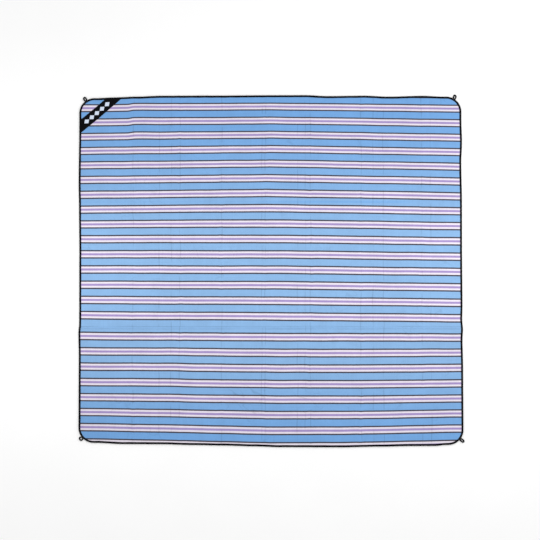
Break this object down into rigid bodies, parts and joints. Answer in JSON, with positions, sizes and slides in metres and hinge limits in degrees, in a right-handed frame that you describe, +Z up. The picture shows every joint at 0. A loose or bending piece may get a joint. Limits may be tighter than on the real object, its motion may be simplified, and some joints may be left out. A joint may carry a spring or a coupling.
{
  "type": "camp blanket",
  "caption": "Padded rectangular ground mat with a striped cloth top and waterproof backing, bound edge, corner peg loops and a letter fold in three.",
  "frame": {"origin": "centre of the flat underside of the open blanket, on the ground", "axes": "+X along the stripes to the right, +Y to the back edge, +Z up out of the striped cloth"},
  "size_m": [2.2057, 2.0227, 0.0061],
  "materials": {
    "striped_cloth": "woven, striped",
    "padding": "soft wadding",
    "backing": "coated, satin",
    "binding": "woven tape",
    "band": "woven webbing",
    "cord": "braided cord"
  },
  "bodies": {
    "middle": {"backing_middle": "backing", "padding_middle": "padding", "top_cloth_middle": "striped_cloth", "panel_seam": "striped_cloth", "binding_middle_left": "binding", "binding_middle_right": "binding"},
    "back": {"backing_back": "backing", "padding_back": "padding", "top_cloth_back": "striped_cloth", "binding_back": "binding", "corner_band": "band"},
    "front": {"backing_front": "backing", "padding_front": "padding", "top_cloth_front": "striped_cloth", "binding_front": "binding"},
    "back_left_loop": {"peg_loop_back_left": "cord"},
    "back_right_loop": {"peg_loop_back_right": "cord"},
    "front_left_loop": {"peg_loop_front_left": "cord"},
    "front_right_loop": {"peg_loop_front_right": "cord"}
  },
  "joints": [
    {"name": "back_fold", "type": "hinge", "parent": "middle", "child": "back", "pos_m": [0, 0.383, 0.014], "axis": [1, 0, 0], "range_deg": [0, 179.9]},
    {"name": "front_fold", "type": "hinge", "parent": "middle", "child": "front", "pos_m": [0, -0.334, 0.008], "axis": [-1, 0, 0], "range_deg": [0, 179.9]},
    {"name": "back_left_loop_swing", "type": "hinge", "parent": "back", "child": "back_left_loop", "pos_m": [-1.05372, 0.98705, 0.0063], "axis": [-0.829, -0.5592, 0], "range_deg": [-179.5, 0]},
    {"name": "back_right_loop_swing", "type": "hinge", "parent": "back", "child": "back_right_loop", "pos_m": [1.05781, 0.99257, 0.0063], "axis": [-0.8572, 0.515, 0], "range_deg": [-179.5, 0]},
    {"name": "front_left_loop_swing", "type": "hinge", "parent": "front", "child": "front_left_loop", "pos_m": [-1.07007, -0.96304, 0.0063], "axis": [0.6561, -0.7547, 0], "range_deg": [-179.5, 0]},
    {"name": "front_right_loop_swing", "type": "hinge", "parent": "front", "child": "front_right_loop", "pos_m": [1.08156, -0.97156, 0.0063], "axis": [0.6157, 0.788, 0], "range_deg": [-179.5, 0]}
  ]
}
